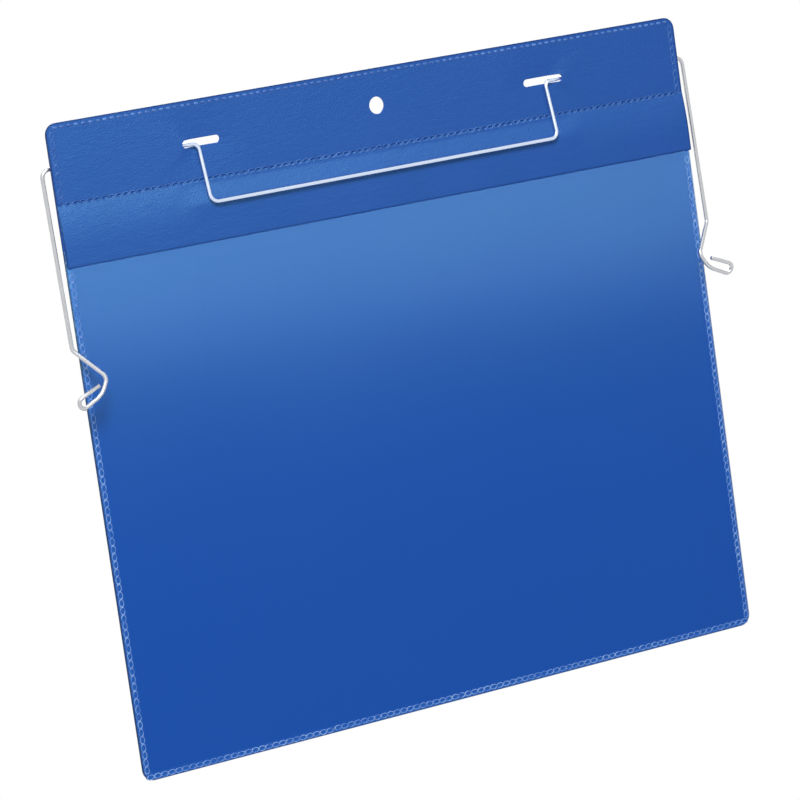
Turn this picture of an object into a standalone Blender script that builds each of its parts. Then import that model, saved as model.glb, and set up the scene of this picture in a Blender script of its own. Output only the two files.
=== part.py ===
# Hanging document pocket: a blue back sheet, a clear front film welded on three sides, a grained
# header band with a rain flap over the open top, and a bent wire hanger that swings in two slots.
# Metres, +Z up. The origin is the middle of the hanging hole on the back face, and -Y is the front.

import math

import bmesh
import bpy
from mathutils import Vector

MM = 0.001

# Outside of the pocket
WIDTH = 311 * MM
HEIGHT = 280 * MM
CORNER_RADIUS = 5 * MM

# Sheets, and the gap that pieces keep where they lie on each other
BACK_THICKNESS = 0.4 * MM
HEADER_THICKNESS = 0.4 * MM
FILM_THICKNESS = 0.3 * MM
SEAT_GAP = 0.3 * MM

# Each sheet starts this much too large and is then cut to the outline.
TRIM = 2 * MM

# Places below the top edge
HOLE_DROP = 16 * MM
SLOT_DROP = 18.2 * MM
SEAM_DROP = 34 * MM
BAR_DROP = 43.8 * MM

# The flap folds just under the bar, and the pocket's open mouth and the flap's end follow from the fold.
FOLD_BELOW_BAR = 3.2 * MM
MOUTH_BELOW_FOLD = 6 * MM
FLAP_LENGTH = 13.4 * MM

# Hanging hole and the two slots that the wire is threaded through
HOLE_DIAMETER = 7.5 * MM
HOLE_SIDES = 32
SLOT_CENTRE = 85 * MM
SLOT_LENGTH = 19 * MM
SLOT_HEIGHT = 3.3 * MM

# Pocket: the film's welded rim, the rise of its panel, and the pressed seam under the header
RIM_WIDTH = 4 * MM
RIM_SLOPE = 9 * MM
FILM_RISE = 1.0 * MM
SEAM_WIDTH = 3 * MM
SEAM_DEPTH = 0.15 * MM
FLAP_CORNER = 0.6 * MM

# Where the wire presses the header back: its inner start, its outer spread and its soft edges
WEAVE_RUN_IN = 26 * MM
WEAVE_SPREAD = 1.6
WEAVE_FADE = 5 * MM
ROUNDING = 0.15 * MM

# Wire hanger: its arms stand outside the middle of the slots and its legs outside the sheet's edges.
WIRE_DIAMETER = 1.8 * MM
ARM_SHIFT = 1.3 * MM
ARM_BEND = 3 * MM
BAR_BEND = 3.5 * MM
LEG_CLEARANCE = 3.5 * MM
LEG_BEND = 3.5 * MM
BEND_STEPS = 5

# Hook at the end of each leg, as wire corners: outward of the leg, forward of the axis, below the axis,
# and the radius of the bend there
HOOK = [
    (0.0, 3.6 * MM, 75.1 * MM, 3.0 * MM),
    (-10.7 * MM, 10.7 * MM, 88.0 * MM, 3.5 * MM),
    (-7.0 * MM, 11.4 * MM, 94.7 * MM, 10.0 * MM),
    (3.0 * MM, 11.8 * MM, 99.6 * MM, 2.3 * MM),
    (5.1 * MM, 12.9 * MM, 95.2 * MM, 2.3 * MM),
    (-5.9 * MM, 12.4 * MM, 90.5 * MM, 0.0),
]

# Colours from the object
BLUE = (0.030, 0.120, 0.420, 1.0)
CLEAR = (0.55, 0.70, 0.90, 1.0)
ZINC = (0.72, 0.73, 0.75, 1.0)


def level(drop):
    return HOLE_DROP - drop


# Sizes that follow from those above
half_width = WIDTH / 2
wire_radius = WIRE_DIAMETER / 2
fold_drop = BAR_DROP + FOLD_BELOW_BAR
arm_x = SLOT_CENTRE + ARM_SHIFT
leg_x = half_width + LEG_CLEARANCE
stack = BACK_THICKNESS + SEAT_GAP + HEADER_THICKNESS
film_front = BACK_THICKNESS + SEAT_GAP + FILM_THICKNESS + FILM_RISE
flap_front = film_front + SEAT_GAP + HEADER_THICKNESS
flap_bulge = flap_front - stack

# The runs of the wire lie behind the sheet, low in the slots, and are the hanger's axis.
axis_y = SEAT_GAP + wire_radius
axis_z = level(SLOT_DROP) - (SLOT_HEIGHT / 2 - wire_radius - SEAT_GAP)
bar_reach = axis_z - level(BAR_DROP)

# The bail leans forward just enough for its bar to lie on the flap.
wire_room = wire_radius + SEAT_GAP
lean = math.atan2(flap_front + axis_y, bar_reach)
lean += math.asin(wire_room / math.hypot(flap_front + axis_y, bar_reach))
weave_depth = stack + axis_y + wire_room / math.cos(lean)
slot_end = SLOT_CENTRE + SLOT_LENGTH / 2 - SEAT_GAP
weave_inner = arm_x - wire_room
weave_outer = arm_x + wire_room + wire_radius


def soft(value):
    return (value + math.hypot(value, ROUNDING)) / 2


def smooth(share):
    share = min(max(share, 0.0), 1.0)
    return share * share * (3 - 2 * share)


def spaced(start, end, steps):
    return [start + (end - start) * i / steps for i in range(steps)]


def weave(x, z):
    # How far the wire holds the header back beside a slot, along a line parallel to its arm
    away = abs(z - axis_z)
    depth = soft(weave_depth - away * math.tan(lean))
    inner = (abs(x) - weave_inner + WEAVE_RUN_IN) / WEAVE_RUN_IN
    reach = slot_end + WEAVE_SPREAD * max(0.0, away - SLOT_HEIGHT / 2)
    outer = (reach - abs(x)) / (reach - weave_outer)
    fade = (z - level(SEAM_DROP) + WEAVE_FADE) / WEAVE_FADE
    return depth * smooth(inner) * smooth(outer) * smooth(fade)


def bulge(z):
    # How far the flap stands out below the seam, parallel to the bail and then straight down
    ramp = soft((axis_z - z) * math.tan(lean) - weave_depth) if z < axis_z else 0.0
    return flap_bulge - soft(flap_bulge - ramp)


def film_rise(x, z):
    side = smooth((half_width - abs(x) - RIM_WIDTH) / RIM_SLOPE)
    foot = smooth((z - level(HEIGHT) - RIM_WIDTH) / RIM_SLOPE)
    return FILM_RISE * side * foot


def seam_press(z):
    return SEAM_DEPTH if abs(z - level(SEAM_DROP)) < SEAM_WIDTH / 2 else 0.0


def material(name, colour, roughness, metallic=0.0, alpha=1.0):
    made = bpy.data.materials.new(name)
    made.use_nodes = True
    shader = made.node_tree.nodes["Principled BSDF"]
    shader.inputs["Base Color"].default_value = colour
    shader.inputs["Roughness"].default_value = roughness
    shader.inputs["Metallic"].default_value = metallic
    shader.inputs["Alpha"].default_value = alpha
    return made


def add(name, data, collection, finish=None):
    made = bpy.data.objects.new(name, data)
    collection.objects.link(made)
    if finish:
        data.materials.append(finish)
    return made


def outline(name, corners, depth):
    # A flat closed outline in X and Z, corners given with their radii, extruded to both sides of Y
    curve = bpy.data.curves.new(name, "CURVE")
    curve.dimensions = "2D"
    curve.fill_mode = "BOTH"
    curve.extrude = depth / 2
    points = rounded([Vector((x, z, 0)) for x, z, _ in corners], [r for _, _, r in corners], closed=True)
    spline = curve.splines.new("POLY")
    spline.points.add(len(points) - 1)
    for point, place in zip(spline.points, points):
        point.co = (*place, 1)
    spline.use_cyclic_u = True
    return curve


def rounded(corners, radii, closed=False):
    # The corners of a path with each bend as an arc
    path = []
    for i, (corner, radius) in enumerate(zip(corners, radii)):
        ends = not closed and i in (0, len(corners) - 1)
        if ends or radius == 0:
            path.append(corner)
            continue
        before = (corners[i - 1] - corner).normalized()
        after = (corners[(i + 1) % len(corners)] - corner).normalized()
        half = before.angle(after) / 2
        middle = corner + (before + after).normalized() * (radius / math.sin(half))
        first = corner + before * (radius / math.tan(half)) - middle
        last = corner + after * (radius / math.tan(half)) - middle
        for step in range(BEND_STEPS + 1):
            path.append(middle + first.slerp(last, step / BEND_STEPS).normalized() * radius)
    return path


def solid_of(curve_object):
    # A curve's evaluated shape as a closed mesh, which can then cut another
    graph = bpy.context.evaluated_depsgraph_get()
    mesh = bpy.data.meshes.new_from_object(curve_object.evaluated_get(graph))
    shape = bmesh.new()
    shape.from_mesh(mesh)
    bmesh.ops.remove_doubles(shape, verts=shape.verts, dist=0.001 * MM)
    bmesh.ops.recalc_face_normals(shape, faces=shape.faces)
    shape.to_mesh(mesh)
    shape.free()
    made = bpy.data.objects.new(curve_object.name + "_solid", mesh)
    made.matrix_world = curve_object.matrix_world
    bpy.data.objects.remove(curve_object)
    return made


def cutter(name, corners, collection):
    depth = 40 * MM
    curve = add(name, outline(name, corners, depth), collection)
    curve.rotation_euler = (math.pi / 2, 0, 0)
    bpy.context.view_layer.update()
    made = solid_of(curve)
    collection.objects.link(made)
    made.hide_render = True
    made.display_type = "WIRE"
    return made


def box_corners(x0, z0, x1, z1, radius):
    return [(x0, z0, radius), (x1, z0, radius), (x1, z1, radius), (x0, z1, radius)]


def cut(target, tool, operation="DIFFERENCE"):
    step = target.modifiers.new(tool.name, "BOOLEAN")
    step.operation = operation
    step.object = tool


def sheet(name, collection, finish, columns, rows, front, back):
    # A sheet between two surfaces over a grid of columns and rows, front(x, z) and back(x, z) giving Y
    shape = bmesh.new()
    bmesh.ops.create_grid(shape, x_segments=len(columns) - 1, y_segments=len(rows) - 1, size=1)
    for vert in shape.verts:
        x = columns[round((vert.co.x + 1) / 2 * (len(columns) - 1))]
        z = rows[round((vert.co.y + 1) / 2 * (len(rows) - 1))]
        vert.co = (x, front(x, z), z)
    grown = bmesh.ops.extrude_face_region(shape, geom=shape.faces[:])
    for vert in (part for part in grown["geom"] if isinstance(part, bmesh.types.BMVert)):
        vert.co.y = back(vert.co.x, vert.co.z)
    bmesh.ops.triangulate(shape, faces=shape.faces)
    bmesh.ops.recalc_face_normals(shape, faces=shape.faces)
    mesh = bpy.data.meshes.new(name)
    shape.to_mesh(mesh)
    shape.free()
    return add(name, mesh, collection, finish)


def both_sides(half):
    return [-x for x in reversed(half[1:])] + half


def header_columns():
    reach = slot_end + WEAVE_SPREAD * weave_depth / math.tan(lean)
    half = spaced(0, weave_inner - WEAVE_RUN_IN, 2)
    half += spaced(weave_inner - WEAVE_RUN_IN, weave_inner, 7)
    half += spaced(weave_inner, weave_outer, 2)
    half += spaced(weave_outer, slot_end, 6)
    half += spaced(slot_end, reach, 5)
    half += [reach, half_width + TRIM]
    return both_sides(half)


def header_rows():
    seam = level(SEAM_DROP)
    slot = level(SLOT_DROP)
    press = SEAM_WIDTH / 2
    lip = SLOT_HEIGHT / 2 + SEAT_GAP
    rows = spaced(level(-TRIM), slot + lip, 5)
    rows += spaced(slot + lip, slot - lip, 2)
    rows += spaced(slot - lip, seam + press + SEAT_GAP, 5)
    rows += [seam + press + SEAT_GAP, seam + press * 0.99, seam - press * 0.99]
    return rows


def back_sheet(collection, finish, cutters):
    seam = level(SEAM_DROP)
    rows = header_rows() + [seam - SEAM_WIDTH / 2 - SEAT_GAP, seam - WEAVE_FADE, level(HEIGHT + TRIM)]
    made = sheet(
        "back_sheet", collection, finish, header_columns(), rows,
        lambda x, z: weave(x, z) - BACK_THICKNESS,
        lambda x, z: weave(x, z) - seam_press(z),
    )
    cut(made, cutters["outer_edge"], "INTERSECT")
    for name in ("hole", "slot_left", "slot_right"):
        cut(made, cutters[name])


def header_band(collection, finish, cutters):
    seam = level(SEAM_DROP)
    lower = level(fold_drop) + SEAT_GAP / 2
    rows = header_rows() + spaced(seam - SEAM_WIDTH / 2 - SEAT_GAP, lower, 7) + [lower]
    made = sheet(
        "header_band", collection, finish, header_columns(), rows,
        lambda x, z: weave(x, z) - bulge(z) - stack,
        lambda x, z: weave(x, z) - bulge(z) - stack + HEADER_THICKNESS,
    )
    cut(made, cutters["outer_edge"], "INTERSECT")
    for name in ("hole", "slot_left", "slot_right"):
        cut(made, cutters[name])


def front_film(collection, finish, cutters):
    half = [0, half_width - RIM_WIDTH - RIM_SLOPE]
    half += spaced(half_width - RIM_WIDTH - RIM_SLOPE, half_width - RIM_WIDTH, 5)[1:]
    half += [half_width - RIM_WIDTH, half_width + TRIM]
    foot = level(HEIGHT)
    rows = [level(fold_drop + MOUTH_BELOW_FOLD)] + spaced(foot + RIM_WIDTH + RIM_SLOPE, foot + RIM_WIDTH, 5)
    rows += [foot + RIM_WIDTH, foot - TRIM]
    seat = -BACK_THICKNESS - SEAT_GAP
    made = sheet(
        "front_film", collection, finish, both_sides(half), rows,
        lambda x, z: seat - FILM_THICKNESS - film_rise(x, z),
        lambda x, z: seat - film_rise(x, z),
    )
    cut(made, cutters["outer_edge"], "INTERSECT")


def rain_flap(collection, finish):
    # The free part of the flap, whose empty lies on the fold, on the flap's front face
    fold = bpy.data.objects.new("flap_fold", None)
    fold.location = (0, -flap_front, level(fold_drop))
    collection.objects.link(fold)
    corners = [
        (-half_width, -SEAT_GAP / 2, 0), (half_width, -SEAT_GAP / 2, 0),
        (half_width, -FLAP_LENGTH, FLAP_CORNER), (-half_width, -FLAP_LENGTH, FLAP_CORNER),
    ]
    made = add("rain_flap", outline("rain_flap", corners, HEADER_THICKNESS), collection, finish)
    made.parent = fold
    made.location = (0, HEADER_THICKNESS / 2, 0)
    made.rotation_euler = (math.pi / 2, 0, 0)


def hanger_path():
    # The right half of the wire from the middle of the bar to the hook's end, then both halves,
    # about the middle of the runs' axis
    bar_forward = bar_reach * math.tan(lean)
    corners = [Vector((arm_x, -bar_forward, -bar_reach)), Vector((arm_x, 0, 0)), Vector((leg_x, 0, 0))]
    radii = [BAR_BEND, ARM_BEND, LEG_BEND]
    for outward, forward, below, radius in HOOK:
        corners.append(Vector((leg_x + outward, -forward, -below)))
        radii.append(radius)
    middle = Vector((0, -bar_forward, -bar_reach))
    half = rounded([middle] + corners, [0] + radii)
    return [Vector((-p.x, p.y, p.z)) for p in reversed(half[1:])] + half


def wire_hanger(collection, finish):
    curve = bpy.data.curves.new("wire_hanger", "CURVE")
    curve.dimensions = "3D"
    curve.bevel_depth = wire_radius
    curve.bevel_resolution = 2
    curve.use_fill_caps = True
    path = hanger_path()
    spline = curve.splines.new("POLY")
    spline.points.add(len(path) - 1)
    for point, place in zip(spline.points, path):
        point.co = (*place, 1)
    spline.use_smooth = True
    made = add("wire_hanger", curve, collection, finish)
    made.location = (0, axis_y, axis_z)


def make_cutters(collection):
    top = level(0)
    slot = level(SLOT_DROP)
    hole_radius = HOLE_DIAMETER / 2
    turns = [math.tau * (i + 0.5) / HOLE_SIDES for i in range(HOLE_SIDES)]
    ring = [(math.cos(turn) * hole_radius, math.sin(turn) * hole_radius, 0) for turn in turns]
    cutters = {
        "outer_edge": cutter("outer_edge", box_corners(
            -half_width, level(HEIGHT), half_width, top, CORNER_RADIUS), collection),
        "hole": cutter("hole", ring, collection),
    }
    for name, side in (("slot_left", -1), ("slot_right", 1)):
        centre = side * SLOT_CENTRE
        cutters[name] = cutter(name, box_corners(
            centre - SLOT_LENGTH / 2, slot - SLOT_HEIGHT / 2,
            centre + SLOT_LENGTH / 2, slot + SLOT_HEIGHT / 2, SLOT_HEIGHT / 2 * 0.98), collection)
    return cutters


def main():
    for old in list(bpy.data.objects):
        bpy.data.objects.remove(old)
    parts = bpy.data.collections.new("hanging_document_pocket")
    tools = bpy.data.collections.new("cutters")
    for collection in (parts, tools):
        bpy.context.scene.collection.children.link(collection)
    cutters = make_cutters(tools)
    back_sheet(parts, material("blue_sheet", BLUE, 0.42), cutters)
    front_film(parts, material("clear_film", CLEAR, 0.12, alpha=0.3), cutters)
    header_band(parts, material("grained_sheet", BLUE, 0.5), cutters)
    rain_flap(parts, material("flap_sheet", BLUE, 0.5))
    wire_hanger(parts, material("zinc_wire", ZINC, 0.25, metallic=1.0))


main()
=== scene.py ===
import math

import bpy
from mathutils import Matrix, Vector


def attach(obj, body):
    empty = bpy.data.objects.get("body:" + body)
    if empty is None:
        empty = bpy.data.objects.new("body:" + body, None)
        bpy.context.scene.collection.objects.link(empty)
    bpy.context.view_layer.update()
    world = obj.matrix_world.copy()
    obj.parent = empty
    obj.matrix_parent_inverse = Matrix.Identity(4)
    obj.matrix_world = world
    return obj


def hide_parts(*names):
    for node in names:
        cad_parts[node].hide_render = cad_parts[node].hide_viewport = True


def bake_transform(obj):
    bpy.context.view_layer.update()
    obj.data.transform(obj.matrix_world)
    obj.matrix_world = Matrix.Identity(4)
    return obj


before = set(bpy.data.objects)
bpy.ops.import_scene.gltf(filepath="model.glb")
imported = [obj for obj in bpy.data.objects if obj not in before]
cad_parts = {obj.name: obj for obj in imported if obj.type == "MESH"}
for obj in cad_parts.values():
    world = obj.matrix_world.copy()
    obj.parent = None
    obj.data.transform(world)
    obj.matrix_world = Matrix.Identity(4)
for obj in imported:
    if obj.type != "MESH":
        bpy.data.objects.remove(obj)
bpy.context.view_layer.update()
print("frame loaded:", ", ".join(sorted(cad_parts)))

mm = 0.001


# small helpers for working as in the viewport

def dropSelection():
    if bpy.context.object and bpy.context.object.mode != "OBJECT":
        bpy.ops.object.mode_set(mode="OBJECT")
    bpy.ops.object.select_all(action="DESELECT")


def pickOnly(piece):
    dropSelection()
    piece.select_set(True)
    bpy.context.view_layer.objects.active = piece


def applyPlace(piece):
    pickOnly(piece)
    bpy.ops.object.transform_apply(location=True, rotation=True, scale=True)


def applyModifier(piece, kind, **settings):
    pickOnly(piece)
    step = piece.modifiers.new(kind.lower(), kind)
    for name, value in settings.items():
        setattr(step, name, value)
    bpy.ops.object.modifier_apply(modifier=step.name)


def cutWith(piece, tool, operation):
    applyModifier(piece, "BOOLEAN", object=tool, operation=operation, solver="EXACT")
    bpy.data.objects.remove(tool)


def smoothBy(piece, degrees):
    pickOnly(piece)
    bpy.ops.object.shade_smooth_by_angle(angle=math.radians(degrees))


def coat(piece, finish):
    piece.data.materials.clear()
    piece.data.materials.append(finish)


def ease(share):
    share = min(max(share, 0.0), 1.0)
    return share * share * (3 - 2 * share)


def softened(value, rounding):
    return (value + math.hypot(value, rounding)) / 2


def spread(stops, counts):
    # even steps from stop to stop, and the last stop itself
    places = []
    for start, end, count in zip(stops, stops[1:], counts):
        places += [start + (end - start) * i / count for i in range(count)]
    return places + [stops[-1]]


def evenly(start, end, pitch):
    return spread([start, end], [max(1, round(abs(end - start) / pitch))])


def bothSides(half):
    return [-x for x in reversed(half[1:])] + half


def wavesAt(x, z, waves):
    # sine waves multiplied, each with its pace across, its pace upward and its start
    height = 1.0
    for across, up, start in waves:
        height *= math.sin(x * across + z * up + start)
    return height


# the pocket's own sizes, as in the solids, heights from the middle of the hanging hole

pocket = {
    "halfWidth": 155.5 * mm,
    "top": 16 * mm,
    "foot": -264 * mm,
    "corner": 5 * mm,
    "back": 0.4 * mm,
    "header": 0.4 * mm,
    "film": 0.3 * mm,
    "seat": 0.3 * mm,       # air between sheets that lie on each other
    "holeRadius": 3.75 * mm,
    "slotX": 85 * mm,
    "slotZ": -2.2 * mm,
    "slotLength": 19 * mm,
    "slotHeight": 3.3 * mm,
    "seamZ": -18 * mm,
    "filmTop": -37 * mm,
    "flapFoot": -44.4 * mm,
    "filmRise": 1.0 * mm,
    "rim": 4 * mm,
}

wire = {
    "radius": 0.9 * mm,
    "sides": 4,             # bevel resolution, 12 faces round
    "armX": 86.3 * mm,
    "legX": 159 * mm,
    "barZ": -27.8 * mm,
    "armBend": 3 * mm,
    "barBend": 3.5 * mm,
    "legBend": 3.5 * mm,
    "bendSteps": 10,
    "endBevel": 0.16 * mm,
    "endSteps": 2,
    "endAngle": 60,
    "smooth": 50,
    # hook corners: outward of the leg, forward and below the axis, bend radius
    "hook": [
        (0.0, 3.6 * mm, 75.1 * mm, 3.0 * mm),
        (-10.7 * mm, 10.7 * mm, 88.0 * mm, 3.5 * mm),
        (-7.0 * mm, 11.4 * mm, 94.7 * mm, 10.0 * mm),
        (3.0 * mm, 11.8 * mm, 99.6 * mm, 2.3 * mm),
        (5.1 * mm, 12.9 * mm, 95.2 * mm, 2.3 * mm),
        (-5.9 * mm, 12.4 * mm, 90.5 * mm, 0.0),
    ],
}

stackFront = pocket["back"] + pocket["seat"] + pocket["header"]
filmFront = pocket["back"] + pocket["seat"] + pocket["film"] + pocket["filmRise"]
flapFront = filmFront + pocket["seat"] + pocket["header"]
axisY = pocket["seat"] + wire["radius"]
axisZ = pocket["slotZ"] - (pocket["slotHeight"] / 2 - wire["radius"] - pocket["seat"])
barReach = axisZ - wire["barZ"]
wireRoom = wire["radius"] + pocket["seat"]
leanBase = math.hypot(flapFront + axisY, barReach)
lean = math.atan2(flapFront + axisY, barReach) + math.asin(wireRoom / leanBase)

dent = {
    "depth": stackFront + axisY + wireRoom / math.cos(lean),
    "inner": wire["armX"] - wireRoom,
    "outer": wire["armX"] + wireRoom + wire["radius"],
    "slotEnd": pocket["slotX"] + pocket["slotLength"] / 2 - pocket["seat"],
    "runIn": 26 * mm,
    "spread": 1.6,
    "fade": 5 * mm,
    "rounding": 0.15 * mm,
    "bulge": flapFront - stackFront,
    "freeFrom": 90 * mm,    # outside the bail the flap curves out softly
    "freeOver": 12 * mm,
    "calm": 0.85,           # how far the dents' shading is eased off
}


def dentAt(x, z):   # the wire holds the header back beside each slot
    away = abs(z - axisZ)
    depth = softened(dent["depth"] - away * math.tan(lean), dent["rounding"])
    inner = (abs(x) - dent["inner"] + dent["runIn"]) / dent["runIn"]
    reach = dent["slotEnd"] + dent["spread"] * max(0.0, away - pocket["slotHeight"] / 2)
    outer = (reach - abs(x)) / (reach - dent["outer"])
    fade = (z - pocket["seamZ"] + dent["fade"]) / dent["fade"]
    return depth * ease(inner) * ease(outer) * ease(fade)


def bulgeAt(x, z):  # below the seam the flap stands out over the pocket's mouth
    if z > axisZ:
        return 0.0
    ramp = softened((axisZ - z) * math.tan(lean) - dent["depth"], dent["rounding"])
    held = dent["bulge"] - softened(dent["bulge"] - ramp, dent["rounding"])
    down = min(max((pocket["seamZ"] - z) / (pocket["seamZ"] - pocket["filmTop"]), 0.0), 1.0)
    free = dent["bulge"] * down * (2 - down)
    share = ease((abs(x) - dent["freeFrom"]) / dent["freeOver"])
    return held + (free - held) * share


headerSet = {
    # the seam's pressed dashes, sunk in the sheet, with painted shade darkening them in its finish
    "stitch": 3.3 * mm, "stitchDepth": 0.24 * mm, "stitchHalf": 0.80 * mm, "slant": 0.5,
    "dashHalf": 0.40, "dashFade": 0.18,     # shares of a stitch
    "darkLong": 1.3 * mm, "darkWide": 0.66 * mm, "darkFull": 0.5,
    "flapCorner": 0.6 * mm,
    "ripple": 0.06 * mm, "rippleOver": 20 * mm, "waves": [(31, 0, 0.4)],
    "stitchColumns": 6, "seamAbove": 2 * mm, "seamBelow": 2.5 * mm,
    "foldFrom": -29.6 * mm, "foldTo": -32.4 * mm, "blendFrom": -30 * mm, "blendTo": -32 * mm,
    "rows": (6, 7, 6, 15, 8, 7, 6),
}


# shader nodes and the groups shared by several finishes

def addNode(tree, kind, links, **settings):
    # links: socket name or number -> what feeds it, a socket or a plain value
    node = tree.nodes.new(kind)
    for name, value in settings.items():
        setattr(node, name, value)
    for socket, source in links.items():
        if isinstance(source, bpy.types.NodeSocket):
            tree.links.new(source, node.inputs[socket])
        else:
            node.inputs[socket].default_value = source
    return node


def mathNode(tree, operation, *values):
    return addNode(tree, "ShaderNodeMath", dict(enumerate(values)), operation=operation).outputs[0]


def vectorNode(tree, operation, *values):
    node = addNode(tree, "ShaderNodeVectorMath", dict(enumerate(values)), operation=operation)
    return node.outputs["Value" if operation == "LENGTH" else "Vector"]


def remap(tree, value, low=0.0, high=1.0, toLow=0.0, toHigh=1.0, **settings):
    links = {"Value": value, "From Min": low, "From Max": high, "To Min": toLow, "To Max": toHigh}
    return addNode(tree, "ShaderNodeMapRange", links, **settings).outputs[0]


def noise(tree, place, scale, detail, roughness=0.5):
    links = {"Vector": place, "Scale": scale, "Detail": detail, "Roughness": roughness}
    return addNode(tree, "ShaderNodeTexNoise", links).outputs


def mixColours(tree, share, first, second):
    first, second = [(*c, 1) if isinstance(c, tuple) else c for c in (first, second)]
    return addNode(tree, "ShaderNodeMix", {0: share, 6: first, 7: second}, data_type="RGBA").outputs[2]


def splitPlace(tree, place):
    return addNode(tree, "ShaderNodeSeparateXYZ", {0: place}).outputs


def newGroup(name, inputs, outputs):
    group = bpy.data.node_groups.new(name, "ShaderNodeTree")
    for way, sockets in (("INPUT", inputs), ("OUTPUT", outputs)):
        for socket, kind in sockets.items():
            group.interface.new_socket(socket, in_out=way, socket_type="NodeSocket" + kind)
    into = group.nodes.new("NodeGroupInput")
    out = group.nodes.new("NodeGroupOutput")
    return group, into.outputs, out.inputs


grainSet = {
    "warp": 260.0, "warpBy": 0.9 * mm, "domeWidth": 0.22, "toneRange": (0.3, 0.7),
    "creaseTurn": 33, "creaseStretch": 3.4, "creaseRough": 0.62,
    "creaseRange": (0.34, 0.62), "creaseShare": 0.9,
}


def buildPebbleGrain():
    # rounded pebbles, slanting creases and cloudy patches of tone
    group, into, out = newGroup(
        "pebbleGrain", {"Vector": "Vector", "Pebbles": "Float", "Creases": "Float", "Cloud": "Float"},
        {"Height": "Float", "Tone": "Float", "Sheen": "Float"})
    warp = noise(group, into["Vector"], grainSet["warp"], detail=2.0)["Color"]
    push = vectorNode(group, "MULTIPLY", warp, (grainSet["warpBy"],) * 3)
    moved = vectorNode(group, "ADD", into["Vector"], push)
    cells = addNode(group, "ShaderNodeTexVoronoi", {"Vector": moved, "Scale": into["Pebbles"]},
                    feature="DISTANCE_TO_EDGE")
    dome = remap(group, cells.outputs["Distance"], high=grainSet["domeWidth"])
    turned = addNode(group, "ShaderNodeMapping", {
        "Vector": moved, "Rotation": (0.0, math.radians(grainSet["creaseTurn"]), 0.0),
        "Scale": (1.0, 1.0, grainSet["creaseStretch"])})
    creases = noise(group, turned.outputs[0], into["Creases"], detail=5.0, roughness=grainSet["creaseRough"])
    lines = remap(group, creases["Fac"], *grainSet["creaseRange"])
    height = mathNode(group, "ADD", dome, mathNode(group, "MULTIPLY", lines, grainSet["creaseShare"]))
    cloud = noise(group, into["Vector"], into["Cloud"], detail=3.0)["Fac"]
    tone = remap(group, cloud, *grainSet["toneRange"])
    group.links.new(height, out["Height"])
    group.links.new(tone, out["Tone"])
    group.links.new(mathNode(group, "MULTIPLY", tone, dome), out["Sheen"])
    return group


def buildCutEdge():
    # 1 on the outline of a rounded sheet, falling to 0 a band's width inside it
    group, into, out = newGroup(
        "cutEdge",
        {"Vector": "Vector", "Centre": "Vector", "Inner": "Vector", "Corner": "Float", "Band": "Float"},
        {"Mask": "Float"})
    step = vectorNode(group, "SUBTRACT", into["Vector"], into["Centre"])
    step = vectorNode(group, "ABSOLUTE", step)
    step = vectorNode(group, "SUBTRACT", step, into["Inner"])
    step = vectorNode(group, "MAXIMUM", step, (0, 0, 0))
    step = vectorNode(group, "MULTIPLY", step, (1, 0, 1))
    away = vectorNode(group, "LENGTH", step)
    start = mathNode(group, "SUBTRACT", into["Corner"], into["Band"])
    group.links.new(remap(group, away, start, into["Corner"]), out["Mask"])
    return group


pebbleGrain = buildPebbleGrain()
cutEdge = buildCutEdge()


# finishes

edgeShadeBand = {"outline": 0.6 * mm, "foot": 0.9 * mm}   # how far in from the cut the painted edge shade reaches

headerLook = {
    "pebbles": 950.0, "creases": 150.0, "cloud": 24.0,
    "deep": (0.0115, 0.053, 0.245), "light": (0.0145, 0.059, 0.265),
    # the edge colour is painted shade along the cut edges and the flap's foot; the pressed colour is painted
    # shade in the seam's dashes
    "edge": (0.0005, 0.010, 0.110), "pressed": (0.004, 0.032, 0.190), "foot": pocket["flapFoot"],
    "rough": 0.34, "sheen": 0.05, "bump": 0.5, "bumpDepth": 0.06 * mm,
    "ior": 1.26, "tint": (0.34, 0.88, 1.0),
}
backLook = {
    "pebbles": 1400.0, "creases": 90.0, "cloud": 14.0,
    "deep": (0.006, 0.068, 0.396), "light": (0.008, 0.074, 0.412),
    # the edge colour is painted shade along the cut edges and the sheet's foot
    "edge": (0.002, 0.014, 0.085), "foot": pocket["foot"],
    "rough": 0.36, "sheen": 0.004, "bump": 0.02, "bumpDepth": 0.02 * mm,
    "ior": 1.22, "tint": (0.36, 0.85, 1.0),
}
# blue itself and mostly opaque, for the look of clear film over the empty blue pocket
filmLook = {
    # the edge colour is painted shade along the cut; the pressed colour is the weld band's paler tone, also
    # used as a painted highlight along the mouth
    "colour": (0.0058, 0.0600, 0.339), "edge": (0.002, 0.014, 0.085), "pressed": (0.024, 0.120, 0.44),
    # the band along the mouth is a painted highlight on its cut
    "band": 3.8 * mm, "mouth": 0.9 * mm, "mouthFull": 0.2 * mm,
    "rough": 0.145, "haze": 11.0, "hazeBy": 0.02, "ior": 1.37, "alpha": 0.75, "tint": (0.36, 0.85, 1.0),
}
weldLook = {"deep": (0.016, 0.098, 0.40), "light": (0.150, 0.275, 0.55), "rough": 0.32}
backWeldLook = {"deep": (0.004, 0.060, 0.36), "light": (0.030, 0.130, 0.50), "rough": 0.36}
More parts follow.
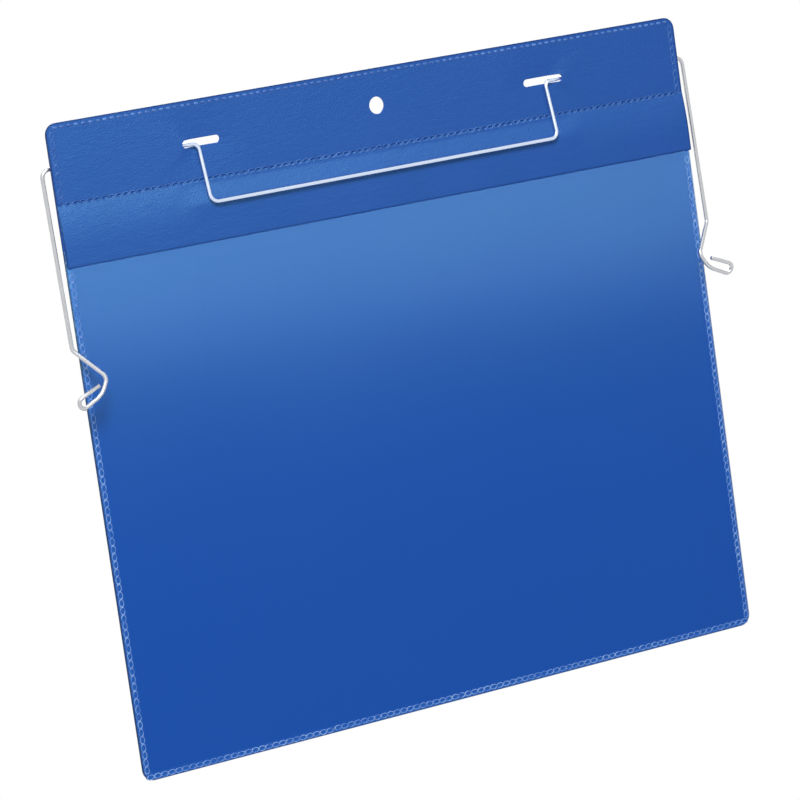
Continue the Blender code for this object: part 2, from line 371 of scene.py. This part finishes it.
# header weld marks: whitened weld, partly painted highlight
headerWeldAndHighlightLook = {"deep": (0.012, 0.066, 0.27), "light": (0.065, 0.170, 0.45), "rough": 0.36}
weldPatches = {
    "knots": 520.0, "knotRange": (0.36, 0.60), "runs": 21.0, "runRange": (0.35, 0.60), "runLeast": 0.35,
}
zincLook = {
    "pale": (0.62, 0.63, 0.65), "dull": (0.46, 0.47, 0.49), "spangle": 380.0,
    # the bail colour is a painted reflection of the blue sheet behind it
    "bail": (0.64, 0.73, 0.88), "bailFade": (110 * mm, 90 * mm),
    "rough": 0.25, "dullBy": 0.1, "brightBy": 0.06, "drawn": 2600.0, "bump": 0.15, "bumpDepth": 0.03 * mm,
}


def startFinish(name):
    finish = bpy.data.materials.new(name)
    finish.use_nodes = True
    tree = finish.node_tree
    shader = tree.nodes["Principled BSDF"]
    place = tree.nodes.new("ShaderNodeTexCoord").outputs["Object"]
    return finish, tree, shader, place


def edgeMask(tree, place, foot, corner, band):
    # the cut edge of a sheet that reaches from the top down to this foot
    middle, tall = (pocket["top"] + foot) / 2, (pocket["top"] - foot) / 2
    mask = addNode(tree, "ShaderNodeGroup", {
        "Vector": place, "Centre": (0, 0, middle), "Inner": (pocket["halfWidth"] - corner, 0, tall - corner),
        "Corner": corner, "Band": band}, node_tree=cutEdge)
    return mask.outputs["Mask"]


def outlineMask(tree, place, band):
    return edgeMask(tree, place, pocket["foot"], pocket["corner"], band)


def stitchShadeMask(tree, place):
    # 1 in the middle of each pressed dash of the seam, where its shade is painted
    at = splitPlace(tree, place)
    off = mathNode(tree, "SUBTRACT", at["Z"], pocket["seamZ"])
    slid = mathNode(tree, "MULTIPLY_ADD", off, -headerSet["slant"], at["X"])
    part = mathNode(tree, "FRACT", mathNode(tree, "DIVIDE", slid, headerSet["stitch"]))
    fromMiddle = mathNode(tree, "SUBTRACT", part, 0.5)
    along = mathNode(tree, "MULTIPLY", fromMiddle, headerSet["stitch"] / headerSet["darkLong"])
    across = mathNode(tree, "DIVIDE", off, headerSet["darkWide"])
    pair = addNode(tree, "ShaderNodeCombineXYZ", {0: along, 1: across}).outputs[0]
    return remap(tree, vectorNode(tree, "LENGTH", pair), 1.0, headerSet["darkFull"])


def sheetFinish(name, look):
    # blue plastic sheet: two near blues, pebbled grain in the bump, satin gloss
    finish, tree, shader, place = startFinish(name)
    grain = addNode(tree, "ShaderNodeGroup", {
        "Vector": place, "Pebbles": look["pebbles"], "Creases": look["creases"], "Cloud": look["cloud"],
    }, node_tree=pebbleGrain).outputs
    colour = mixColours(tree, grain["Tone"], look["deep"], look["light"])
    # painted shade darkening the seam's pressed dashes
    if "pressed" in look:
        colour = mixColours(tree, stitchShadeMask(tree, place), colour, look["pressed"])
    # painted shade along the whole cut outline, and along the sheet's own foot
    rim = mathNode(tree, "MAXIMUM", outlineMask(tree, place, edgeShadeBand["outline"]),
                   edgeMask(tree, place, look["foot"], edgeShadeBand["foot"], edgeShadeBand["foot"]))
    tree.links.new(mixColours(tree, rim, colour, look["edge"]), shader.inputs["Base Color"])
    rough, sheen = look["rough"], look["sheen"]
    gloss = remap(tree, grain["Sheen"], toLow=rough + sheen, toHigh=rough - sheen)
    tree.links.new(gloss, shader.inputs["Roughness"])
    bump = addNode(tree, "ShaderNodeBump", {
        "Height": grain["Height"], "Strength": look["bump"], "Distance": look["bumpDepth"]})
    tree.links.new(bump.outputs[0], shader.inputs["Normal"])
    shader.inputs["IOR"].default_value = look["ior"]
    shader.inputs["Specular Tint"].default_value = (*look["tint"], 1)
    return finish


def filmFinish():
    finish, tree, shader, place = startFinish("clearFilm")
    # paler where it is pressed along the weld, painted shade on the cut itself
    welded = outlineMask(tree, place, filmLook["band"])
    colour = mixColours(tree, welded, filmLook["colour"], filmLook["pressed"])
    colour = mixColours(tree, outlineMask(tree, place, edgeShadeBand["outline"]), colour, filmLook["edge"])
    # painted highlight along the mouth's cut
    mouth = remap(tree, splitPlace(tree, place)["Z"], pocket["filmTop"] - filmLook["mouth"],
                  pocket["filmTop"] - filmLook["mouthFull"])
    colour = mixColours(tree, mouth, colour, filmLook["pressed"])
    tree.links.new(colour, shader.inputs["Base Color"])
    # only the face that is met first counts, the inner one is clear
    met = tree.nodes.new("ShaderNodeNewGeometry")
    alpha = remap(tree, met.outputs["Backfacing"], toLow=filmLook["alpha"], toHigh=0.0)
    tree.links.new(alpha, shader.inputs["Alpha"])
    shader.inputs["IOR"].default_value = filmLook["ior"]
    shader.inputs["Specular Tint"].default_value = (*filmLook["tint"], 1)
    haze = noise(tree, place, filmLook["haze"], detail=2.0)["Fac"]
    rough, by = filmLook["rough"], filmLook["hazeBy"]
    tree.links.new(remap(tree, haze, toLow=rough - by, toHigh=rough + by), shader.inputs["Roughness"])
    return finish


def weldFinish(name, look):
    # pressed plastic, whitened in patches along the chain; on the header the pale marks are partly painted
    # highlight
    finish, tree, shader, place = startFinish(name)
    knots = noise(tree, place, weldPatches["knots"], detail=2.0)["Fac"]
    white = remap(tree, knots, *weldPatches["knotRange"])
    runs = noise(tree, place, weldPatches["runs"], detail=2.0)["Fac"]
    strong = remap(tree, runs, *weldPatches["runRange"], toLow=weldPatches["runLeast"])
    amount = mathNode(tree, "MULTIPLY", white, strong)
    tree.links.new(mixColours(tree, amount, look["deep"], look["light"]), shader.inputs["Base Color"])
    shader.inputs["Roughness"].default_value = look["rough"]
    return finish


def zincFinish():
    finish, tree, shader, place = startFinish("zincWire")
    spangle = noise(tree, place, zincLook["spangle"], detail=3.0)["Fac"]
    colour = mixColours(tree, spangle, zincLook["dull"], zincLook["pale"])
    # painted reflection: the bail is tinted towards the blue it mirrors from the sheet behind it, and keeps
    # the tint when it swings
    out = mathNode(tree, "ABSOLUTE", splitPlace(tree, place)["X"])
    colour = mixColours(tree, remap(tree, out, *zincLook["bailFade"]), colour, zincLook["bail"])
    tree.links.new(colour, shader.inputs["Base Color"])
    gloss = remap(tree, spangle, toLow=zincLook["rough"] + zincLook["dullBy"],
                  toHigh=zincLook["rough"] - zincLook["brightBy"])
    tree.links.new(gloss, shader.inputs["Roughness"])
    drawn = noise(tree, place, zincLook["drawn"], detail=2.0)["Fac"]
    bump = addNode(tree, "ShaderNodeBump", {
        "Height": drawn, "Strength": zincLook["bump"], "Distance": zincLook["bumpDepth"]})
    tree.links.new(bump.outputs[0], shader.inputs["Normal"])
    shader.inputs["Metallic"].default_value = 1.0
    return finish


finishes = {
    "header": sheetFinish("grainedHeader", headerLook),
    "back": sheetFinish("blueBack", backLook),
    "film": filmFinish(),
    "weld": weldFinish("filmWeldMarks", weldLook),
    "headerWeldAndHighlight": weldFinish("headerWeldAndHighlightMarks", headerWeldAndHighlightLook),
    "backWeld": weldFinish("backWeldMarks", backWeldLook),
    "zinc": zincFinish(),
}
print("finishes:", ", ".join(f.name for f in finishes.values()))


# cutters, made flat and then pulled through the sheets

cutSet = {
    "through": 20 * mm, "cornerSteps": 8, "touch": 0.001 * mm,
    "slotSteps": 6, "slotRound": 0.98,      # share of half the slot's height
    "holeSides": 48, "holeThrough": 30 * mm,
}


def outlineCutter(low, high, topRadius, footRadius, steps):
    middleX, middleZ = (low[0] + high[0]) / 2, (low[1] + high[1]) / 2
    wide, tall = high[0] - low[0], high[1] - low[1]
    dropSelection()
    bpy.ops.mesh.primitive_plane_add(size=1, rotation=(math.pi / 2, 0, 0), location=(middleX, 0, middleZ))
    tool = bpy.context.object
    tool.scale = (wide, tall, 1)
    applyPlace(tool)
    for upper, radius in ((True, topRadius), (False, footRadius)):
        bpy.ops.object.mode_set(mode="EDIT")
        bpy.ops.mesh.select_all(action="DESELECT")
        bpy.ops.object.mode_set(mode="OBJECT")
        for vert in tool.data.vertices:
            onSide = abs(abs(vert.co.x - middleX) - wide / 2) < cutSet["touch"]
            vert.select = onSide and (vert.co.z > middleZ) == upper
        bpy.ops.object.mode_set(mode="EDIT")
        bpy.ops.mesh.select_mode(type="VERT")
        bpy.ops.mesh.bevel(offset=radius, segments=steps, affect="VERTICES")
    bpy.ops.mesh.select_all(action="SELECT")
    bpy.ops.mesh.extrude_region_move(TRANSFORM_OT_translate={"value": (0, cutSet["through"], 0)})
    bpy.ops.mesh.select_all(action="SELECT")
    bpy.ops.transform.translate(value=(0, -cutSet["through"] / 2, 0))
    bpy.ops.mesh.normals_make_consistent(inside=False)
    bpy.ops.object.mode_set(mode="OBJECT")
    return tool


def holeCutter():
    dropSelection()
    bpy.ops.mesh.primitive_cylinder_add(vertices=cutSet["holeSides"], radius=pocket["holeRadius"],
                                        depth=cutSet["holeThrough"], rotation=(math.pi / 2, 0, 0))
    tool = bpy.context.object
    applyPlace(tool)
    return tool


def slotCutter(side):
    centre = side * pocket["slotX"]
    half, tall = pocket["slotLength"] / 2, pocket["slotHeight"] / 2
    radius = tall * cutSet["slotRound"]
    return outlineCutter((centre - half, pocket["slotZ"] - tall), (centre + half, pocket["slotZ"] + tall),
                         radius, radius, cutSet["slotSteps"])


def sheetEdge(foot, footRadius):
    # the outline of a sheet that reaches from the top down to this foot
    half = pocket["halfWidth"]
    return outlineCutter((-half, foot), (half, pocket["top"]), pocket["corner"], footRadius,
                         cutSet["cornerSteps"])


def piercedEdge(foot, footRadius):
    edge = sheetEdge(foot, footRadius)
    cutWith(edge, holeCutter(), "DIFFERENCE")
    for side in (-1, 1):
        cutWith(edge, slotCutter(side), "DIFFERENCE")
    return edge


# sheets start as grids that reach past their outline, finer where they bend

gridSet = {
    "spare": 2 * mm, "slotReach": 4 * mm, "bentTo": 118 * mm, "dentColumns": (14, 48, 12), "smooth": 40,
}
gridTop = pocket["top"] + gridSet["spare"]
gridSide = pocket["halfWidth"] + gridSet["spare"]
slotZone = (pocket["slotZ"] + gridSet["slotReach"], pocket["slotZ"] - gridSet["slotReach"])


def flatSheet(name, columns, rows, thickness):
    # a grid in X and Z whose front lies on Y 0, with its thickness behind it
    dropSelection()
    bpy.ops.mesh.primitive_grid_add(x_subdivisions=len(columns) - 1, y_subdivisions=len(rows) - 1, size=2)
    sheet = bpy.context.object
    sheet.name = sheet.data.name = name
    for vert in sheet.data.vertices:
        column = round((vert.co.x + 1) / 2 * (len(columns) - 1))
        row = round((vert.co.y + 1) / 2 * (len(rows) - 1))
        vert.co = (columns[column], 0, rows[row])
    applyModifier(sheet, "SOLIDIFY", thickness=thickness, offset=1)
    return sheet


def shapeSheet(sheet, frontAt, dentedBy, calmShare):
    # leave flat polygons only, then push every point by the surface's own rule
    applyModifier(sheet, "TRIANGULATE", min_vertices=5)
    calm = sheet.copy()
    calm.data = sheet.data.copy()
    bpy.context.scene.collection.objects.link(calm)
    for vert, calmVert in zip(sheet.data.vertices, calm.data.vertices):
        x, z = vert.co.x, vert.co.z
        calmVert.co.y += frontAt(x, z)
        vert.co.y += frontAt(x, z) + dentedBy(x, z)
    smoothBy(calm, gridSet["smooth"])
    smoothBy(sheet, gridSet["smooth"])
    # soft dents take most of their shading from the undented copy
    applyModifier(sheet, "DATA_TRANSFER", object=calm, use_loop_data=True, data_types_loops={"CUSTOM_NORMAL"},
                  loop_mapping="TOPOLOGY", mix_factor=calmShare)
    bpy.data.objects.remove(calm)


# back sheet: full height, dented by the wire beside the slots, a little slack behind the film

backSheetSet = {
    "slack": 0.12 * mm, "waves": [(21, 0, 0.6), (0, 17, 0.85)], "seamFade": 50 * mm, "edgeFade": 30 * mm,
    "bentTo": -24 * mm, "rows": (7, 8, 16, 50),
}


def backFront(x, z):
    slack = backSheetSet["slack"] * wavesAt(x, z, backSheetSet["waves"])
    slack *= ease((pocket["seamZ"] - z) / backSheetSet["seamFade"])
    slack *= ease((z - pocket["foot"]) / backSheetSet["edgeFade"])
    slack *= ease((pocket["halfWidth"] - abs(x)) / backSheetSet["edgeFade"])
    return slack - pocket["back"]


def makeBackSheet():
    half = spread([0, dent["inner"] - dent["runIn"], gridSet["bentTo"], gridSide], gridSet["dentColumns"])
    rows = spread([gridTop, *slotZone, backSheetSet["bentTo"], pocket["foot"] - gridSet["spare"]],
                  backSheetSet["rows"])
    sheet = flatSheet("backSheet", bothSides(half), rows, pocket["back"])
    cutWith(sheet, piercedEdge(pocket["foot"], pocket["corner"]), "INTERSECT")
    shapeSheet(sheet, backFront, dentAt, dent["calm"])
    coat(sheet, finishes["back"])
    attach(sheet, "pocket")
    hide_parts("back_sheet")
    print("back sheet:", len(sheet.data.polygons), "faces")


# front film: welded on three sides, its panel stands off a little

filmSet = {
    "wave": 0.08 * mm, "waves": [(17, 6, 1.0), (-4, 13, 0.0)], "slope": 45 * mm, "calm": 0.85,
    "edgeZone": 13 * mm, "columns": (44, 9, 1, 1), "rows": (60, 9, 1, 1),
}


def filmRiseAt(x, z):
    side = ease((pocket["halfWidth"] - abs(x) - pocket["rim"]) / filmSet["slope"])
    foot = ease((z - pocket["foot"] - pocket["rim"]) / filmSet["slope"])
    return pocket["filmRise"] * side * foot


def filmSeat(x, z):
    return -pocket["back"] - pocket["seat"] - pocket["film"]


def filmSwell(x, z):
    panel = filmRiseAt(x, z) / pocket["filmRise"]
    return panel * filmSet["wave"] * wavesAt(x, z, filmSet["waves"]) - filmRiseAt(x, z)


def makeFilm():
    insets = (filmSet["edgeZone"], pocket["rim"], gridSet["spare"], -gridSet["spare"])
    half = spread([0] + [pocket["halfWidth"] - inset for inset in insets], filmSet["columns"])
    rows = spread([pocket["filmTop"]] + [pocket["foot"] + inset for inset in insets], filmSet["rows"])
    sheet = flatSheet("frontFilm", bothSides(half), rows, pocket["film"])
    cutWith(sheet, sheetEdge(pocket["foot"], pocket["corner"]), "INTERSECT")
    shapeSheet(sheet, filmSeat, filmSwell, filmSet["calm"])
    coat(sheet, finishes["film"])
    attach(sheet, "pocket")
    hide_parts("front_film")
    print("front film:", len(sheet.data.polygons), "faces")


# header and flap: one grained sheet, welded along a pressed row of dashes, free below it

def stitchAt(x, z):
    off = z - pocket["seamZ"]
    along = ((x - headerSet["slant"] * off) / headerSet["stitch"]) % 1.0
    dash = ease((headerSet["dashHalf"] - abs(along - 0.5)) / headerSet["dashFade"])
    return headerSet["stitchDepth"] * dash * ease(1 - abs(off) / headerSet["stitchHalf"])


def headerFront(x, z):
    ripple = headerSet["ripple"] * wavesAt(x, z, headerSet["waves"])
    ripple *= ease((pocket["seamZ"] - z) / headerSet["rippleOver"])
    return stitchAt(x, z) + ripple - bulgeAt(x, z) - stackFront


def makeHeader():
    step = headerSet["stitch"] / headerSet["stitchColumns"]
    count = math.ceil(gridSide / step)
    columns = [i * step for i in range(-count, count + 1)]
    rows = spread([gridTop, *slotZone, pocket["seamZ"] + headerSet["seamAbove"],
                   pocket["seamZ"] - headerSet["seamBelow"], headerSet["foldFrom"], headerSet["foldTo"],
                   pocket["flapFoot"] - gridSet["spare"]], headerSet["rows"])
    sheet = flatSheet("headerSheet", columns, rows, pocket["header"])
    cutWith(sheet, piercedEdge(pocket["flapFoot"], headerSet["flapCorner"]), "INTERSECT")
    shapeSheet(sheet, headerFront, dentAt, dent["calm"])
    coat(sheet, finishes["header"])
    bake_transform(sheet)
    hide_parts("header_band", "rain_flap")
    print("header and flap:", len(sheet.data.polygons), "faces")


# weld marks: a pressed ring or pad, copied in rows along the edges and the seam

weldSet = {
    "ring": (1.6 * mm, 1.0 * mm), "ringSteps": (14, 4), "line": 0.21 * mm, "flat": 0.7,
    "pitch": 3.3 * mm, "inset": 1.9 * mm, "filmFrom": -48.5 * mm, "lastRing": 0.9,
    # two strokes meet along the foot, the left one a little lower
    "breakX": -64 * mm, "breakBefore": 1.6 * mm, "breakAfter": 2.4 * mm,
    "footEnd": 1.2 * mm, "leftDrop": 0.3 * mm,
    "backLine": 0.16 * mm,
    "headerLine": 0.14 * mm, "headerInset": 2.4 * mm, "headerTo": -16.5 * mm, "topEnd": 2 * mm,
    "ovalSteps": (10, 6), "topPad": (1.15 * mm, 0.62 * mm, 0.26 * mm),
    "seamRing": (1.45 * mm, 0.86 * mm), "seamLine": 0.15 * mm, "seamEnd": 3 * mm,
    "seamPad": (0.95 * mm, 0.36 * mm, 0.14 * mm), "seamDrop": 0.85 * mm, "seamTurn": 8,
}


def makeRing(line, size):
    # lies in X and Z, long along X, its lower half sunk in the sheet
    long, wide = size
    around, across = weldSet["ringSteps"]
    dropSelection()
    bpy.ops.mesh.primitive_torus_add(major_segments=around, minor_segments=across, major_radius=wide,
                                     minor_radius=line, rotation=(math.pi / 2, 0, 0))
    ring = bpy.context.object
    applyPlace(ring)
    ring.scale = (long / wide, weldSet["flat"], 1.0)
    applyPlace(ring)
    return ring


def makeOval(long, wide, high):
    # a pressed pad, long along X, its lower half sunk in the sheet
    segments, rings = weldSet["ovalSteps"]
    dropSelection()
    bpy.ops.mesh.primitive_uv_sphere_add(segments=segments, ring_count=rings, radius=1.0 * mm,
                                         rotation=(math.pi / 2, 0, 0))
    oval = bpy.context.object
    applyPlace(oval)
    oval.scale = (long / mm, high / mm, wide / mm)
    applyPlace(oval)
    return oval


def makeChain(name, mark, places, finish):
    copies = []
    for spot, turn in places:
        copy = mark.copy()
        copy.data = mark.data.copy()
        copy.location = spot
        copy.rotation_euler = (0, math.radians(turn), 0)
        bpy.context.scene.collection.objects.link(copy)
        copies.append(copy)
    bpy.data.objects.remove(mark)
    dropSelection()
    for copy in copies:
        copy.select_set(True)
    bpy.context.view_layer.objects.active = copies[0]
    bpy.ops.object.join()
    chain = bpy.context.object
    chain.name = chain.data.name = name
    applyPlace(chain)
    bpy.ops.object.shade_smooth()
    coat(chain, finish)
    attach(chain, "pocket")
    print(name + ":", len(copies), "marks")
    return chain


def makeFilmWeld():
    # the chain on the film's front, and its fainter print on the back
    side, pitch = pocket["halfWidth"] - weldSet["inset"], weldSet["pitch"]
    low = pocket["foot"] + weldSet["inset"]
    front = -(pocket["back"] + pocket["seat"] + pocket["film"])
    places = []
    for x in (-side, side):
        for z in evenly(weldSet["filmFrom"], low + pitch * weldSet["lastRing"], pitch):
            places.append(((x, front, z), 90))
    for x in evenly(-side + weldSet["footEnd"], weldSet["breakX"] - weldSet["breakBefore"], pitch):
        places.append(((x, front, low - weldSet["leftDrop"]), 0))
    for x in evenly(weldSet["breakX"] + weldSet["breakAfter"], side - weldSet["footEnd"], pitch):
        places.append(((x, front, low), 0))
    chain = makeChain("filmWeld", makeRing(weldSet["line"], weldSet["ring"]), places, finishes["weld"])
    places = [((spot[0], 0, spot[2]), turn) for spot, turn in places]
    ring = makeRing(weldSet["backLine"], weldSet["ring"])
    chain = makeChain("backWeld", ring, places, finishes["backWeld"])


def makeHeaderWeld():
    side = pocket["halfWidth"] - weldSet["headerInset"]
    high = pocket["top"] - weldSet["inset"]
    places = []
    for x in (-side, side):
        for z in evenly(high - weldSet["pitch"], weldSet["headerTo"], weldSet["pitch"]):
            places.append(((x, dentAt(x, z) - stackFront, z), 90))
    ring = makeRing(weldSet["headerLine"], weldSet["ring"])
    chain = makeChain("headerSideWeld", ring, places, finishes["headerWeldAndHighlight"])
    places = []
    for x in evenly(-side + weldSet["topEnd"], side - weldSet["topEnd"], weldSet["pitch"]):
        places.append(((x, dentAt(x, high) - stackFront, high), 0))
    row = makeChain("headerTopWeld", makeOval(*weldSet["topPad"]), places, finishes["headerWeldAndHighlight"])
    # a pale ring round each dash of the seam, partly weld whitening and partly painted highlight on the
    # dash's lit lip
    places = []
    count = int((pocket["halfWidth"] - weldSet["seamEnd"]) / headerSet["stitch"])
    for i in range(-count, count):
        x, z = (i + 0.5) * headerSet["stitch"], pocket["seamZ"]
        lip = headerFront(x, z - weldSet["seamRing"][1])
        places.append(((x, lip + dentAt(x, z), z), 0))
    ring = makeRing(weldSet["seamLine"], weldSet["seamRing"])
    row = makeChain("seamPads", ring, places, finishes["headerWeldAndHighlight"])
    # the seam's print on the back, a little lower
    z = pocket["seamZ"] - weldSet["seamDrop"]
    places = [((spot[0], dentAt(spot[0], z), z), weldSet["seamTurn"]) for spot, turn in places]
    row = makeChain("backSeamPads", makeOval(*weldSet["seamPad"]), places, finishes["backWeld"])


# wire hanger: one bent wire, through both slots and round behind the sheet to the side hooks

def roundedPath(corners, radii):
    path = []
    for i, (corner, radius) in enumerate(zip(corners, radii)):
        if i in (0, len(corners) - 1) or radius == 0:
            path.append(corner)
            continue
        before = (corners[i - 1] - corner).normalized()
        after = (corners[i + 1] - corner).normalized()
        half = before.angle(after) / 2
        middle = corner + (before + after).normalized() * (radius / math.sin(half))
        first = corner + before * (radius / math.tan(half)) - middle
        last = corner + after * (radius / math.tan(half)) - middle
        for step in range(wire["bendSteps"] + 1):
            path.append(middle + first.slerp(last, step / wire["bendSteps"]).normalized() * radius)
    return path


def hangerPath():
    forward = barReach * math.tan(lean)
    corners = [Vector((0, -forward, -barReach)), Vector((wire["armX"], -forward, -barReach)),
               Vector((wire["armX"], 0, 0)), Vector((wire["legX"], 0, 0))]
    radii = [0, wire["barBend"], wire["armBend"], wire["legBend"]]
    for outward, ahead, below, radius in wire["hook"]:
        corners.append(Vector((wire["legX"] + outward, -ahead, -below)))
        radii.append(radius)
    half = roundedPath(corners, radii)
    path = [Vector((-p.x, p.y, p.z)) for p in reversed(half[1:])] + half
    return [p + Vector((0, axisY, axisZ)) for p in path]


def makeHanger():
    path = hangerPath()
    dropSelection()
    bpy.ops.curve.primitive_nurbs_path_add()
    hanger = bpy.context.object
    hanger.name = hanger.data.name = "wireHanger"
    hanger.data.splines.clear()
    spline = hanger.data.splines.new("POLY")
    spline.points.add(len(path) - 1)
    for point, place in zip(spline.points, path):
        point.co = (*place, 1)
    hanger.data.bevel_depth = wire["radius"]
    hanger.data.bevel_resolution = wire["sides"]
    hanger.data.use_fill_caps = True
    pickOnly(hanger)
    bpy.ops.object.convert(target="MESH")
    bpy.ops.object.mode_set(mode="EDIT")
    bpy.ops.mesh.select_all(action="SELECT")
    bpy.ops.mesh.remove_doubles(threshold=0.001 * mm)
    bpy.ops.mesh.normals_make_consistent(inside=False)
    bpy.ops.object.mode_set(mode="OBJECT")
    applyModifier(hanger, "BEVEL", width=wire["endBevel"], segments=wire["endSteps"], limit_method="ANGLE",
                  angle_limit=math.radians(wire["endAngle"]))
    smoothBy(hanger, wire["smooth"])
    coat(hanger, finishes["zinc"])
    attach(hanger, "hanger")
    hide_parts("wire_hanger")
    print("wire hanger:", len(hanger.data.polygons), "faces")


makeBackSheet()
makeFilm()
makeHeader()
makeFilmWeld()
makeHeaderWeld()
makeHanger()


# studio: camera, lights, world and a pale round floor

studio = {
    "cameraAt": (-0.8014, -1.4757, 0.1097), "cameraTurn": (81.8487, 7.9776, -29.3898),
    "lens": 175.302, "sensor": 36, "clipStart": 0.05,
    "aim": (0, 0, -0.12), "fill": 0.5,
    # the header and the flap throw no shadow from the key light
    "keyLight": {"at": (-0.6, -1.2, 1.3), "size": (0.7, 0.7), "power": 50.0,
                 "blockers": ("wireHanger", "backSheet", "frontFilm")},
    "rearLight": {"at": (0.9, 1.5, 0.9), "size": (1.2, 0.8), "power": 20.0},
    # boxes that only show as reflections, each on its own sheets
    "boxes": {
        "filmBox": {"at": (0.62, -1.67, 0.00), "size": (1.7, 0.60), "power": 4.2, "spread": 66,
                    "on": ("frontFilm", "backSheet", "filmWeld")},
        "headerBox": {"at": (0.10, -1.66, 0.02), "size": (0.9, 0.60), "power": 7.8, "spread": 180,
                      "on": ("headerSheet",)},
        "highBox": {"at": (0.22, -1.62, 0.62), "size": (1.0, 0.46), "power": 60.0, "spread": 180,
                    "on": ("headerSheet",)},
    },
}
floorSet = {
    "z": -0.55, "radius": 0.85, "sides": 96, "tone": 0.9, "rough": 0.9,
    "fade": (0.4, 0.97), "alpha": 0.55,     # shares of the radius, and how solid the middle is
}


def addLamp(name, setup, target):
    bpy.ops.object.light_add(type="AREA", location=setup["at"])
    lamp = bpy.context.object
    lamp.name = name
    lamp.data.shape = "RECTANGLE"
    lamp.data.size, lamp.data.size_y = setup["size"]
    lamp.data.energy = setup["power"]
    lamp.rotation_euler = (Vector(target) - lamp.location).to_track_quat("-Z", "Y").to_euler()
    return lamp


def onlyThese(name, pieces):
    chosen = bpy.data.collections.new(name)
    for piece in pieces:
        chosen.objects.link(bpy.data.objects[piece])
    return chosen


def makeCamera():
    dropSelection()
    turn = [math.radians(a) for a in studio["cameraTurn"]]
    bpy.ops.object.camera_add(location=studio["cameraAt"], rotation=turn)
    camera = bpy.context.object
    camera.data.sensor_width = studio["sensor"]
    camera.data.lens = studio["lens"]
    camera.data.clip_start = studio["clipStart"]
    bpy.context.scene.camera = camera


def makeLights():
    key = addLamp("keyLight", studio["keyLight"], studio["aim"])
    key.light_linking.blocker_collection = onlyThese("keyBlockers", studio["keyLight"]["blockers"])
    addLamp("rearLight", studio["rearLight"], studio["aim"])
    for name, box in studio["boxes"].items():
        lamp = addLamp(name, box, (0, 0, box["at"][2]))
        lamp.data.spread = math.radians(box["spread"])
        lamp.visible_diffuse = False
        shown = onlyThese(name + "On", box["on"])
        lamp.light_linking.receiver_collection = shown
        lamp.light_linking.blocker_collection = shown


def makeWorld():
    # white where it is seen or mirrored, a softer fill as light
    world = bpy.data.worlds.new("studioWorld")
    bpy.context.scene.world = world
    world.use_nodes = True
    tree = world.node_tree
    tree.nodes.clear()
    rays = tree.nodes.new("ShaderNodeLightPath").outputs
    seen = mathNode(tree, "MAXIMUM", rays["Is Camera Ray"], rays["Is Glossy Ray"])
    seen = mathNode(tree, "MAXIMUM", seen, rays["Is Transmission Ray"])
    strength = remap(tree, seen, toLow=studio["fill"], toHigh=1.0)
    sky = addNode(tree, "ShaderNodeBackground", {"Color": (1, 1, 1, 1), "Strength": strength})
    out = tree.nodes.new("ShaderNodeOutputWorld")
    tree.links.new(sky.outputs[0], out.inputs["Surface"])


def makeFloor():
    radius, tone = floorSet["radius"], floorSet["tone"]
    dropSelection()
    bpy.ops.mesh.primitive_circle_add(vertices=floorSet["sides"], radius=radius, fill_type="NGON",
                                      location=(0, 0, floorSet["z"]))
    floor = bpy.context.object
    floor.name = "floor"
    floor.visible_glossy = False
    finish, tree, shader, place = startFinish("paleFloor")
    shader.inputs["Base Color"].default_value = (tone, tone, tone, 1)
    shader.inputs["Roughness"].default_value = floorSet["rough"]
    near, far = floorSet["fade"]
    fade = remap(tree, vectorNode(tree, "LENGTH", place), radius * near, radius * far, floorSet["alpha"], 0.0,
                 interpolation_type="SMOOTHSTEP")
    tree.links.new(fade, shader.inputs["Alpha"])
    floor.data.materials.append(finish)


makeCamera()
makeLights()
makeWorld()
makeFloor()
bpy.context.scene.view_settings.view_transform = "Standard"
print("studio ready")
